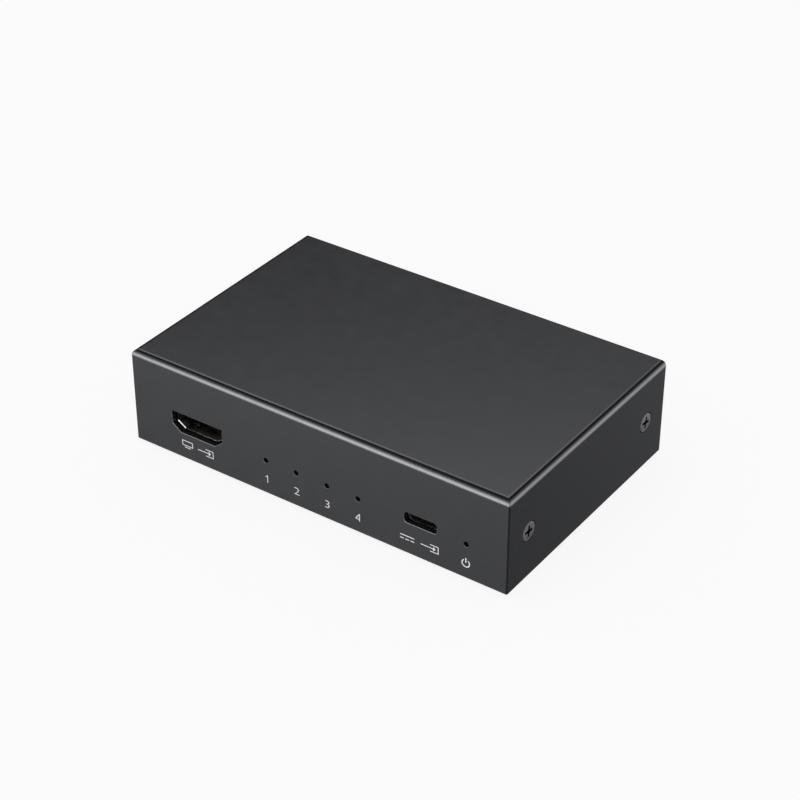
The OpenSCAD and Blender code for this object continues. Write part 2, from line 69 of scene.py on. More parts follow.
# ------------------------------------------------------------------ camera

def make_camera():
    """The photograph's camera: fitted direction, distance and focal length."""
    az, el, roll = math.radians(34.9195), math.radians(33.5857), math.radians(0.0793)
    back = Vector((math.sin(az) * math.cos(el), -math.cos(az) * math.cos(el), math.sin(el)))
    right = (-back).cross(Vector((0, 0, 1))).normalized()
    up = right.cross(-back).normalized()
    place = (back * 512.441 + right * 0.5285 + up * 10.3475) * MM + Vector((0, 0, LIFT * MM))
    x = right * math.cos(roll) + up * math.sin(roll)
    y = -right * math.sin(roll) + up * math.cos(roll)
    data = bpy.data.cameras.new("camera")
    data.sensor_fit = "HORIZONTAL"
    data.sensor_width = 36.0
    data.lens = 96.488
    data.clip_start, data.clip_end = 0.01, 50
    cam = bpy.data.objects.new("camera", data)
    SCENE.collection.objects.link(cam)
    cam.matrix_world = Matrix(((x.x, y.x, back.x, place.x), (x.y, y.y, back.y, place.y), (x.z, y.z, back.z, place.z), (0, 0, 0, 1)))
    SCENE.camera = cam


make_camera()


# --------------------------------------------------------------- materials

def procedural(name, base, rough, metallic=0.0, scale=900.0, tint=0.06, rough_var=0.05, bump=0.0, bump_scale=None,
               stretch=(1, 1, 1), ior=1.5, coat=0.0, coat_rough=0.1, detail=3.0):
    """Principled material whose colour, roughness and relief all follow noise laid in the object's own space."""
    m = bpy.data.materials.new(name)
    m.use_nodes = True
    nt = m.node_tree
    nt.nodes.clear()
    out = nt.nodes.new("ShaderNodeOutputMaterial")
    sh = nt.nodes.new("ShaderNodeBsdfPrincipled")
    nt.links.new(sh.outputs["BSDF"], out.inputs["Surface"])
    sh.inputs["Metallic"].default_value = metallic
    sh.inputs["IOR"].default_value = ior
    if coat:
        sh.inputs["Coat Weight"].default_value = coat
        sh.inputs["Coat Roughness"].default_value = coat_rough
    co = nt.nodes.new("ShaderNodeTexCoord")
    mp = nt.nodes.new("ShaderNodeMapping")
    mp.inputs["Scale"].default_value = stretch
    nt.links.new(co.outputs["Object"], mp.inputs["Vector"])
    n1 = nt.nodes.new("ShaderNodeTexNoise")
    n1.inputs["Scale"].default_value = scale
    n1.inputs["Detail"].default_value = detail
    nt.links.new(mp.outputs["Vector"], n1.inputs["Vector"])
    ramp = nt.nodes.new("ShaderNodeValToRGB")
    lo = [c * (1 - tint) for c in base]
    hi = [c * (1 + tint) for c in base]
    ramp.color_ramp.elements[0].position, ramp.color_ramp.elements[0].color = 0.3, (*lo, 1)
    ramp.color_ramp.elements[1].position, ramp.color_ramp.elements[1].color = 0.7, (*hi, 1)
    nt.links.new(n1.outputs["Fac"], ramp.inputs["Fac"])
    nt.links.new(ramp.outputs["Color"], sh.inputs["Base Color"])
    n2 = nt.nodes.new("ShaderNodeTexNoise")
    n2.inputs["Scale"].default_value = scale * 0.37
    n2.inputs["Detail"].default_value = 2.0
    nt.links.new(mp.outputs["Vector"], n2.inputs["Vector"])
    mr = nt.nodes.new("ShaderNodeMapRange")
    mr.inputs["From Min"].default_value, mr.inputs["From Max"].default_value = 0.3, 0.7
    mr.inputs["To Min"].default_value, mr.inputs["To Max"].default_value = max(0.02, rough - rough_var), min(1.0, rough + rough_var)
    nt.links.new(n2.outputs["Fac"], mr.inputs["Value"])
    nt.links.new(mr.outputs["Result"], sh.inputs["Roughness"])
    if bump:
        n3 = nt.nodes.new("ShaderNodeTexNoise")
        n3.inputs["Scale"].default_value = bump_scale or scale * 2
        n3.inputs["Detail"].default_value = 2.0
        nt.links.new(mp.outputs["Vector"], n3.inputs["Vector"])
        bp = nt.nodes.new("ShaderNodeBump")
        bp.inputs["Strength"].default_value = bump
        bp.inputs["Distance"].default_value = 0.00002
        nt.links.new(n3.outputs["Fac"], bp.inputs["Height"])
        nt.links.new(bp.outputs["Normal"], sh.inputs["Normal"])
    return m


MAT = {
    "case_coat": procedural("case_coat", (0.0112, 0.0115, 0.0125), 0.21, scale=700, tint=0.05, rough_var=0.02, bump=0.05, bump_scale=3200),
    "base_coat": procedural("base_coat", (0.016, 0.016, 0.017), 0.45, scale=700, tint=0.06, rough_var=0.04, bump=0.08, bump_scale=2600),
    "screw_steel": procedural("screw_steel", (0.33, 0.325, 0.315), 0.38, 1.0, scale=900, tint=0.08, rough_var=0.06, bump=0.08, bump_scale=5000),
    "foot_rubber": procedural("foot_rubber", (0.012, 0.012, 0.012), 0.75, scale=1200, tint=0.12, rough_var=0.06, bump=0.25, bump_scale=4000),
    "standoff_steel": procedural("standoff_steel", (0.55, 0.54, 0.50), 0.32, 1.0, scale=1500, tint=0.08),
    "board_screw_steel": procedural("board_screw_steel", (0.60, 0.60, 0.61), 0.3, 1.0, scale=1500, tint=0.08),
    "board_mask": procedural("board_mask", (0.006, 0.028, 0.017), 0.28, scale=420, tint=0.35, rough_var=0.06, stretch=(1, 0.12, 1)),
    "chip_black": procedural("chip_black", (0.014, 0.014, 0.015), 0.5, scale=2500, tint=0.1, bump=0.2, bump_scale=9000),
    "thermal_pad": procedural("thermal_pad", (0.32, 0.34, 0.38), 0.7, scale=1500, tint=0.06),
    "heat_sink_black": procedural("heat_sink_black", (0.02, 0.02, 0.021), 0.4, 0.4, scale=600, tint=0.15, stretch=(1, 0.06, 1)),
    "crystal_can": procedural("crystal_can", (0.62, 0.62, 0.64), 0.3, 1.0, scale=1800, tint=0.06),
    "inductor_ferrite": procedural("inductor_ferrite", (0.05, 0.05, 0.052), 0.6, scale=2500, tint=0.15, bump=0.3, bump_scale=6000),
    "capacitor_can": procedural("capacitor_can", (0.70, 0.70, 0.72), 0.28, 1.0, scale=900, tint=0.05, stretch=(1, 1, 0.05)),
    "ceramic_tan": procedural("ceramic_tan", (0.36, 0.26, 0.15), 0.45, scale=3000, tint=0.12),
    "fuse_green": procedural("fuse_green", (0.04, 0.16, 0.07), 0.5, scale=2000, tint=0.1),
    "socket_shell": procedural("socket_shell", (0.47, 0.47, 0.45), 0.3, 1.0, scale=1400, tint=0.05, rough_var=0.05, stretch=(1, 0.2, 1)),
    "socket_plastic": procedural("socket_plastic", (0.03, 0.03, 0.03), 0.42, scale=2500, tint=0.1, bump=0.1, bump_scale=9000),
    "contact_gold": procedural("contact_gold", (0.60, 0.42, 0.16), 0.42, 1.0, scale=3000, tint=0.06),
    "led_lens": procedural("led_lens", (0.55, 0.56, 0.54), 0.12, scale=2500, tint=0.05, ior=1.53),
    "holder_black": procedural("holder_black", (0.012, 0.012, 0.012), 0.5, scale=2500, tint=0.1, bump=0.15, bump_scale=9000),
}
INK = procedural("ink_white", (0.93, 0.93, 0.93), 0.5, scale=4000, tint=0.03, rough_var=0.05, bump=0.1, bump_scale=12000)


def wear_edge_highlight(m, color, spread=0.06):
    """Edge wear and painted highlight: where the mesh's edge attribute is 1 the finish turns to bare metal of this
    colour, worn and brightened to paint in the highlight of the lights there.
    """
    nt = m.node_tree
    sh = next(n for n in nt.nodes if n.type == "BSDF_PRINCIPLED")
    base = sh.inputs["Base Color"].links[0].from_socket
    wear_and_highlight = nt.nodes.new("ShaderNodeAttribute")
    wear_and_highlight.attribute_name = "edge"
    grain = next(n for n in nt.nodes if n.type == "TEX_NOISE")
    ramp = nt.nodes.new("ShaderNodeValToRGB")
    ramp.color_ramp.elements[0].position, ramp.color_ramp.elements[0].color = 0.3, (*[c * (1 - spread) for c in color], 1)
    ramp.color_ramp.elements[1].position, ramp.color_ramp.elements[1].color = 0.7, (*[c * (1 + spread) for c in color], 1)
    nt.links.new(grain.outputs["Fac"], ramp.inputs["Fac"])
    mix = nt.nodes.new("ShaderNodeMixRGB")
    nt.links.new(wear_and_highlight.outputs["Fac"], mix.inputs["Fac"])
    nt.links.new(base, mix.inputs["Color1"])
    nt.links.new(ramp.outputs["Color"], mix.inputs["Color2"])
    nt.links.new(mix.outputs["Color"], sh.inputs["Base Color"])
    if sh.inputs["Metallic"].default_value < 1:
        nt.links.new(wear_and_highlight.outputs["Fac"], sh.inputs["Metallic"])


# painted highlight, partly edge wear, along the case's rounded shoulders and the lips of its holes
wear_edge_highlight(MAT["case_coat"], (0.216, 0.215, 0.214))
# painted highlight on one slanted side of each video socket's mouth
wear_edge_highlight(MAT["socket_shell"], (0.62, 0.62, 0.61))


def recess_shade(m, face):
    """Painted shade in a screw's recess: the colour falls off with depth below the head's face, at |x| = face in
    metres.
    """
    nt = m.node_tree
    sh = next(n for n in nt.nodes if n.type == "BSDF_PRINCIPLED")
    base = sh.inputs["Base Color"].links[0].from_socket
    co = nt.nodes.new("ShaderNodeTexCoord")
    sep = nt.nodes.new("ShaderNodeSeparateXYZ")
    nt.links.new(co.outputs["Object"], sep.inputs["Vector"])
    size = nt.nodes.new("ShaderNodeMath")
    size.operation = "ABSOLUTE"
    nt.links.new(sep.outputs["X"], size.inputs[0])
    depth = nt.nodes.new("ShaderNodeMapRange")
    depth.inputs["From Min"].default_value, depth.inputs["From Max"].default_value = face - 0.00006, face - 0.00001
    depth.inputs["To Min"].default_value, depth.inputs["To Max"].default_value = 0.04, 1.0
    nt.links.new(size.outputs[0], depth.inputs["Value"])
    mul = nt.nodes.new("ShaderNodeVectorMath")
    mul.operation = "SCALE"
    nt.links.new(base, mul.inputs[0])
    nt.links.new(depth.outputs["Result"], mul.inputs["Scale"])
    nt.links.new(mul.outputs["Vector"], sh.inputs["Base Color"])


# painted shade deep in the screws' cross recesses
recess_shade(MAT["screw_steel"], (HX - 0.05) * MM)


def paint(obj, slot):
    obj.data.materials.clear()
    obj.data.materials.append(MAT[slot])


# ---------------------------------------------------------------- geometry

def offset_poly(pts, o):
    """A convex outline, anticlockwise, grown by o on every side."""
    n = len(pts)
    out = []
    for i in range(n):
        p0, p1, p2 = Vector(pts[i - 1]), Vector(pts[i]), Vector(pts[(i + 1) % n])
        d1, d2 = (p1 - p0).normalized(), (p2 - p1).normalized()
        n1, n2 = Vector((d1.y, -d1.x)), Vector((d2.y, -d2.x))
        k = o / (1 + n1.dot(n2))
        out.append(tuple(p1 + (n1 + n2) * k))
    return out


def round_poly(pts, r, seg=5):
    """A convex outline, anticlockwise, with its corners rounded to radius r."""
    n = len(pts)
    out = []
    for i in range(n):
        p0, p1, p2 = Vector(pts[i - 1]), Vector(pts[i]), Vector(pts[(i + 1) % n])
        a, b = (p0 - p1).normalized(), (p2 - p1).normalized()
        half = a.angle(b) / 2
        t = r / math.tan(half)
        c = p1 + (a + b).normalized() * (r / math.sin(half))
        s, e = p1 + a * t - c, p1 + b * t - c
        a0 = math.atan2(s.y, s.x)
        turn = (math.atan2(e.y, e.x) - a0) % (2 * math.pi)
        for k in range(seg + 1):
            w = a0 + turn * k / seg
            out.append((c.x + r * math.cos(w), c.y + r * math.sin(w)))
    return out


def stadium(w, h, seg=14):
    pts = []
    for side in (1, -1):
        for k in range(seg + 1):
            a = -math.pi / 2 + math.pi * k / seg + (0 if side > 0 else math.pi)
            pts.append((side * (w - h) / 2 + h / 2 * math.cos(a), h / 2 * math.sin(a)))
    return pts


def slot_outline(w, h, r, o):
    """Slot of w by h with corners of radius r, grown by o on every side."""
    a, b = w / 2 + o, h / 2 + o
    return round_poly([(-a, -b), (a, -b), (a, b), (-a, b)], r + o, 9)


def circle(r, seg=48):
    return [(r * math.cos(2 * math.pi * k / seg), r * math.sin(2 * math.pi * k / seg)) for k in range(seg)]


def rect_loop(hx, hy, r, seg=8):
    """Rounded rectangle in X and Y, anticlockwise."""
    pts = []
    for sx, sy, a0 in ((1, -1, -90), (1, 1, 0), (-1, 1, 90), (-1, -1, 180)):
        for k in range(seg + 1):
            a = math.radians(a0 + 90 * k / seg)
            pts.append((sx * (hx - r) + r * math.cos(a), sy * (hy - r) + r * math.sin(a)))
    return pts


def skin(bm, rings, closed_ends=True, ring_closed=False):
    """Quads between rings of points, with flat ends. ring_closed joins the last ring to the first."""
    vs = [[bm.verts.new(Vector(p) * MM) for p in ring] for ring in rings]
    n = len(vs[0])
    pairs = list(zip(vs, vs[1:])) + ([(vs[-1], vs[0])] if ring_closed else [])
    for a, b in pairs:
        for j in range(n):
            k = (j + 1) % n
            bm.faces.new((a[j], a[k], b[k], b[j]))
    if closed_ends and not ring_closed:
        bm.faces.new(list(reversed(vs[0])))
        bm.faces.new(vs[-1])
    return vs


def add_box(bm, a, b, bevel=0.0):
    """Box between two corners, with its edges broken if bevel is given."""
    x0, y0, z0 = a
    x1, y1, z1 = b
    vs = [bm.verts.new(Vector(p) * MM) for p in ((x0, y0, z0), (x1, y0, z0), (x1, y1, z0), (x0, y1, z0), (x0, y0, z1), (x1, y0, z1), (x1, y1, z1), (x0, y1, z1))]
    fs = [bm.faces.new([vs[i] for i in q]) for q in ((3, 2, 1, 0), (4, 5, 6, 7), (0, 1, 5, 4), (1, 2, 6, 5), (2, 3, 7, 6), (3, 0, 4, 7))]
    if bevel:
        edges = list({e for f in fs for e in f.edges})
        bmesh.ops.bevel(bm, geom=edges, offset=bevel * MM, segments=2, profile=0.5, affect="EDGES", clamp_overlap=True)


def new_object(name, bm, sharp=40.0):
    """Closes a bmesh into an object: outward normals, smooth faces, edges over the angle kept sharp."""
    bmesh.ops.recalc_face_normals(bm, faces=bm.faces)
    for f in bm.faces:
        f.smooth = True
    for e in bm.edges:
        if len(e.link_faces) == 2:
            e.smooth = e.calc_face_angle(0) < math.radians(sharp)
    me = bpy.data.meshes.new(name)
    bm.to_mesh(me)
    bm.free()
    ob = bpy.data.objects.new(name, me)
    SCENE.collection.objects.link(ob)
    return ob


def flat_normals(ob):
    """Weights the normals by face area, so flat faces stay flat beside their rounded edges."""
    mod = ob.modifiers.new("normals", "WEIGHTED_NORMAL")
    mod.mode = "FACE_AREA"
    mod.weight = 100
    mod.keep_sharp = True
    return ob


def carve(ob, cutter, sharp=40.0):
    """Cuts one object's solid out of another and keeps the result as a plain mesh."""
    mod = ob.modifiers.new("carve", "BOOLEAN")
    mod.operation = "DIFFERENCE"
    mod.solver = "EXACT"
    mod.object = cutter
    dg = bpy.context.evaluated_depsgraph_get()
    me = bpy.data.meshes.new_from_object(ob.evaluated_get(dg))
    ob.modifiers.clear()
    old, ob.data = ob.data, me
    bpy.data.meshes.remove(old)
    cut_mesh = cutter.data
    bpy.data.objects.remove(cutter)
    bpy.data.meshes.remove(cut_mesh)
    bm = bmesh.new()
    bm.from_mesh(me)
    bmesh.ops.remove_doubles(bm, verts=bm.verts, dist=2e-7)
    bmesh.ops.dissolve_degenerate(bm, edges=bm.edges, dist=2e-7)
    bmesh.ops.recalc_face_normals(bm, faces=bm.faces)
    for f in bm.faces:
        f.smooth = True
    for e in bm.edges:
        if len(e.link_faces) == 2:
            e.smooth = e.calc_face_angle(0) < math.radians(sharp)
    bm.to_mesh(me)
    bm.free()
    return ob


def lathe(bm, profile, place, seg=56):
    """Turns a profile of (radius, height) about an axis; place maps local x, y, z to the frame. Ends lie on the axis or are capped."""
    rings = []
    for r, z in profile:
        rings.append([place((r * math.cos(2 * math.pi * k / seg), r * math.sin(2 * math.pi * k / seg), z)) for k in range(seg)])
    skin(bm, rings)


def mark_edges(ob, weight):
    """Writes the edge attribute: weight(place in mm, normal of the face) from 0 to 1 for each corner of each face."""
    me = ob.data
    att = me.attributes.new("edge", "FLOAT", "CORNER")
    for poly in me.polygons:
        for i in poly.loop_indices:
            att.data[i].value = weight(me.vertices[me.loops[i].vertex_index].co / MM, poly.normal)


def settle(ob, slot, *replaced):
    """Finish of a piece: the material of its slot, its body, and the CAD nodes it stands for, which are hidden."""
    paint(ob, slot)
    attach(ob, "root")
    if replaced:
        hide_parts(*replaced)
    return ob


def mouth_sections(r, deep, out=0.4, seg=4):
    """(offset, depth) steps of a cutter whose mouth is rounded to radius r. Depth counts inwards from the face."""
    steps = [(r + 0.05, -out), (r + 0.004, -0.002)]
    for k in range(1, seg + 1):
        a = math.pi / 2 * k / seg
        steps.append((r - r * math.sin(a), r - r * math.cos(a)))
    steps.append((0.0, deep))
    return steps


# ------------------------------------------------------------------- cover

def make_cover():
    bm = bmesh.new()
    rings = []
    zt = H - WALL
    # inside, from the ceiling down to the rim
    for inset, z in ((0.25, zt), (0.08, zt - 0.08), (0.0, zt - 0.25), (0.0, 0.12), (-0.1, 0.0)):
        rings.append([(x, y, z + LIFT) for x, y in rect_loop(HX - WALL - inset, HY - WALL - inset, 0.4)])
    # outside, from the rim up over the rounded shoulders
    eb = 0.12
    for k in range(5):
        a = math.radians(90 * k / 4)
        inset = eb * (1 - math.sin(a))
        rings.append([(x, y, eb * (1 - math.cos(a)) + LIFT) for x, y in rect_loop(HX - inset, HY - inset, CORNER_R - inset)])
    for k in range(25):
        a = math.radians(90 * k / 24)
        inset = EDGE_R * (1 - math.cos(a))
        z = H - EDGE_R + EDGE_R * math.sin(a)
        # the back edge is much sharper
        over = max(z - (H - BACK_R), 0.0)
        rear = BACK_R - math.sqrt(max(BACK_R ** 2 - over ** 2, 0.0))
        loop = rect_loop(HX - inset, HY - (inset + rear) / 2, max(CORNER_R - inset, 0.14))
        rings.append([(x, y + (inset - rear) / 2, z + LIFT) for x, y in loop])
    skin(bm, rings)
    ob = new_object("top_cover_shell", bm)

    cut = bmesh.new()

    def through(outline, y_face, inward, cx, cz, r):
        steps = mouth_sections(r, WALL + 0.6)
        skin(cut, [[(x + cx, y_face + inward * dep, z + cz + LIFT) for x, z in outline(o)] for o, dep in steps])

    def hole(o):
        return round_poly(offset_poly(VID_HOLE, o), 0.18 + o, 4)

    through(hole, -HY, 1, IN_X, VID_Z, 0.16)
    for x in OUT_X:
        through(hole, HY, -1, x, VID_Z, 0.16)
    through(lambda o: slot_outline(8.65, 2.7, 0.8, o), -HY, 1, PWR_X, PWR_Z, 0.16)
    for x in LED_X + [PWR_LED_X]:
        through(lambda o: circle(LED_R + o, 40), -HY, 1, x, LED_Z, 0.09)
    for side in (-1, 1):
        for y in (-SCREW_Y, SCREW_Y):
            prof = [(SCREW_R + 0.29, 0.4), (SCREW_R + 0.26, 0.002), (SCREW_R + 0.225, -0.012), (SCREW_R + 0.2, -0.05), (SCREW_R + 0.17, -0.2), (1.6, -0.2 - (SCREW_R + 0.17 - 1.6)), (1.6, -WALL - 0.6)]
            lathe(cut, prof, lambda p, s=side, yy=y: (s * (HX + p[2]), yy + p[0] * s, SCREW_Z + LIFT + p[1]))
    cutter = new_object("cutter", cut)
    carve(ob, cutter)

    def wear_and_highlight(p, n):
        # painted highlight with edge wear: the lower part of the rounded shoulders, and the lips of the holes
        up = p.z - LIFT - (H - EDGE_R)
        r, out = (BACK_R, p.y - HY) if n.y > 0.1 else (EDGE_R, max(abs(p.x) - HX, -p.y - HY))
        rise = p.z - LIFT - (H - r)
        if rise > 0 and out > -r:
            turn = math.degrees(math.asin(min(rise / r, 1)))
            return max(0.0, min((turn - 8) / 8, (55 - turn) / 9, 1.0))
        if abs(p.y) > HY - 0.2 and up < -1 and 0.06 < abs(n.y) < 0.985 and p.z > LIFT + 1:
            return 0.8
        return 0.0
    mark_edges(ob, wear_and_highlight)
    flat_normals(ob)
    return settle(ob, "case_coat", "top_cover")


make_cover()


# ------------------------------------------------------------------ screws

def make_screws():
    """Countersunk screws with a tapered cross recess and a thin rim."""
    bm = bmesh.new()
    cut = bmesh.new()
    top = -0.05
    prof = [(0.0001, -5.95), (1.05, -5.95), (1.42, -5.6)]
    z = -5.6
    while z < -1.75:
        prof += [(1.42, z + 0.06), (1.18, z + 0.2), (1.18, z + 0.26), (1.42, z + 0.4)]
        z += 0.5
    prof += [(1.42, top - 1.15), (SCREW_R - 0.02, top - 0.1), (SCREW_R - 0.004, top - 0.05), (SCREW_R - 0.04, top - 0.01), (SCREW_R - 0.1, top), (0.0001, top)]

    def cross(span, arm):
        a, s, f = arm / 2, span / 2, arm * 0.32
        quarter = [(a, -s), (a, -a - f), (a + f * 0.3, -a - f * 0.3), (a + f, -a), (s, -a)]
        pts = []
        for k in range(4):
            c, d = math.cos(k * math.pi / 2), math.sin(k * math.pi / 2)
            pts += [(x * c - y * d, x * d + y * c) for x, y in quarter]
        return pts

    # each screw stops at an angle of its own
    for side, y, turn in ((1, -SCREW_Y, -6), (1, SCREW_Y, -9), (-1, -SCREW_Y, 21), (-1, SCREW_Y, 38)):
        c, d = math.cos(math.radians(turn)), math.sin(math.radians(turn))

        def place(p, s=side, yy=y):
            return (s * (HX + p[2]), yy + (p[0] * c - p[1] * d) * s, SCREW_Z + LIFT + p[0] * d + p[1] * c)
        lathe(bm, prof, place)
        steps = [(3.06, 0.72, 0.3), (3.06, 0.72, top - 0.012), (2.6, 0.6, top - 0.8), (2.1, 0.46, top - 1.1), (0.5, 0.2, top - 1.35)]
        skin(cut, [[place((x, w, z)) for x, w in cross(span, arm)] for span, arm, z in steps])
    ob = new_object("end_screws", bm)
    carve(ob, new_object("cutter", cut), 35)
    flat_normals(ob)
    return settle(ob, "screw_steel", "cover_screws")


make_screws()


# ------------------------------------------------------------------ sockets

def tube(bm, outline, skin_t, depth, place, bevel=None):
    """Thin-walled tube along an outline, its mouth at depth 0 with finely broken edges. bevel gives each point of the
    outline a weight from 0 to 1 for a broad bevel that leads in at the mouth."""
    t = skin_t
    plain = [(0.0, depth), (0.0, 0.4), (0.0, 0.012), (0.004, 0.003), (0.012, 0.0), (0.06, 0.0), (t - 0.1, 0.18), (t, 0.34), (t, depth)]
    broad = [(0.0, depth), (0.0, 0.4), (0.0, 0.2), (0.015, 0.125), (0.235, 0.025), (0.262, 0.008), (0.285, 0.008), (t, 0.03), (t, depth)]
    rings = []
    for (o0, d0), (o1, d1) in zip(plain, broad):
        a, b = outline(o0), outline(o1)
        w = bevel or [0.0] * len(a)
        rings.append([place((xa + (xb - xa) * k, d0 + (d1 - d0) * k, za + (zb - za) * k)) for (xa, za), (xb, zb), k in zip(a, b, w)])
    skin(bm, rings, ring_closed=True)


def leaf(bm, x0, x1, pts, place):
    """Thin bent strip between x0 and x1; pts is its closed side view of (depth, height)."""
    skin(bm, [[place((x, y, z)) for y, z in pts] for x in (x0, x0 + 0.06, x1 - 0.06, x1)])


def video_shell_mesh():
    """Shell of a video socket, drawn with its mouth at y = 0 facing -Y and its opening's middle at the origin."""
    bm = bmesh.new()

    def same(p):
        return p
    n = 5
    # full along one slanted side, slight along the bottom
    up, down = [k / n for k in range(n + 1)], [1 - 0.87 * k / n for k in range(n + 1)]
    lead_in = up + down + [0.13 - 0.13 * k / n for k in range(n + 1)] + [0.0] * (3 * n + 3)
    tube(bm, lambda o: round_poly(offset_poly(VID, o), 0.22 + o, n), 0.3, 11.5, same, lead_in)
    ob = new_object("video_shell", bm)
    cut = bmesh.new()
    for x in (-3.4, 3.4):
        for w, z0, z1 in ((1.15, 2.175, 3.2), (1.0, -3.2, -2.175)):
            pts = [(px + x, py + 5.2) for px, py in round_poly([(-w, -2.8), (w, -2.8), (w, 2.8), (-w, 2.8)], 0.3, 4)]
            skin(cut, [[(px, py, z) for px, py in pts] for z in (z0, z1)])
    carve(ob, new_object("cutter", cut))
    bm = bmesh.new()
    bm.from_mesh(ob.data)
    for x in (-3.4, 3.4):
        for w, z, s in ((0.8, 2.275, 1), (0.7, -2.275, -1)):
            pts = [(8.15, 0.03), (8.15, 0.25), (7.6, 0.23), (6.2, 0.1), (4.4, -0.12), (3.6, -0.2), (3.1, -0.12), (2.65, 0.06), (2.65, -0.12), (3.1, -0.3), (3.6, -0.39), (4.4, -0.32), (6.2, -0.12), (7.6, 0.02)]
            leaf(bm, x - w, x + w, [(y, z + s * d) for y, d in pts], same)
    for s in (-1, 1):
        for y in (2.4, 8.4):
            add_box(bm, (min(s * 7.0, s * 7.3), y - 0.7, -5.1), (max(s * 7.0, s * 7.3), y + 0.7, -0.3), 0.05)
    me = ob.data
    bpy.data.objects.remove(ob)
    bpy.data.meshes.remove(me)
    ob = new_object("video_shell", bm)
    me = ob.data
    bpy.data.objects.remove(ob)
    return me


def put_video_shells():
    me = video_shell_mesh()
    places = [("video_input", IN_X, -MOUTH_Y, 0.0)] + [(f"video_output_{i + 1}", x, MOUTH_Y, math.pi) for i, x in enumerate(OUT_X)]
    for name, x, y, turn in places:
        data = me.copy()
        data.transform(Matrix.Translation(Vector((x, y, VID_Z + LIFT)) * MM) @ Matrix.Rotation(turn, 4, "Z"))
        ob = bpy.data.objects.new(name + "_nickel_shell", data)
        SCENE.collection.objects.link(ob)
        side = -1 if turn == 0 else 1

        def lead_in_highlight(p, n, cx=x, cy=y, s=side):
            # painted highlight on the lead-in along one slanted side of the mouth
            near = (cy - p.y) * s
            return 1.0 if abs(near) < 0.16 and (p.x - cx) * s > 4.3 and p.z - VID_Z - LIFT < -0.5 and 0.3 < abs(n.y) < 0.99 else 0.0
        mark_edges(ob, lead_in_highlight)
        flat_normals(ob)
        settle(ob, "socket_shell", name + "_shell")
    bpy.data.meshes.remove(me)


put_video_shells()


def make_power_shell():
    bm = bmesh.new()

    def place(p):
        return (p[0] + PWR_X, p[1] - MOUTH_Y, p[2] + PWR_Z + LIFT)
    tube(bm, lambda o: stadium(8.34 + 2 * o, 2.56 + 2 * o), 0.25, 7.3, place)
    for s in (-1, 1):
        for y in (1.9, 5.7):
            a, b = sorted((s * 4.17, s * 4.42))
            add_box(bm, place((a, y - 0.5, -5.0)), place((b, y + 0.5, 0.0)), 0.05)
    ob = new_object("power_inlet_nickel_shell", bm)
    flat_normals(ob)
    return settle(ob, "socket_shell", "power_inlet_shell")


make_power_shell()


# -------------------------------------------------------------------- feet

def make_feet():
    """Moulded rubber buttons with a soft rim and a shallow dished face."""
    prof = [(0.0001, 0.12), (2.2, 0.1), (2.7, 0.03), (2.95, 0.0), (3.25, 0.0), (3.5, 0.04), (3.7, 0.16), (3.84, 0.4), (3.95, 0.75), (4.0, 1.0), (4.0, 1.14), (3.95, 1.19), (3.85, 1.2), (0.0001, 1.2)]
    for name, x, y in (("front_left", -43, -25), ("front_right", 43, -25), ("rear_left", -43, 25), ("rear_right", 43, 25)):
        bm = bmesh.new()
        lathe(bm, prof, lambda p, xx=x, yy=y: (xx + p[0], yy + p[1], p[2]), 48)
        settle(flat_normals(new_object("rubber_foot_" + name, bm, 50)), "foot_rubber", "foot_" + name)


make_feet()


# ------------------------------------------------------------------- print

INK_T = 0.02


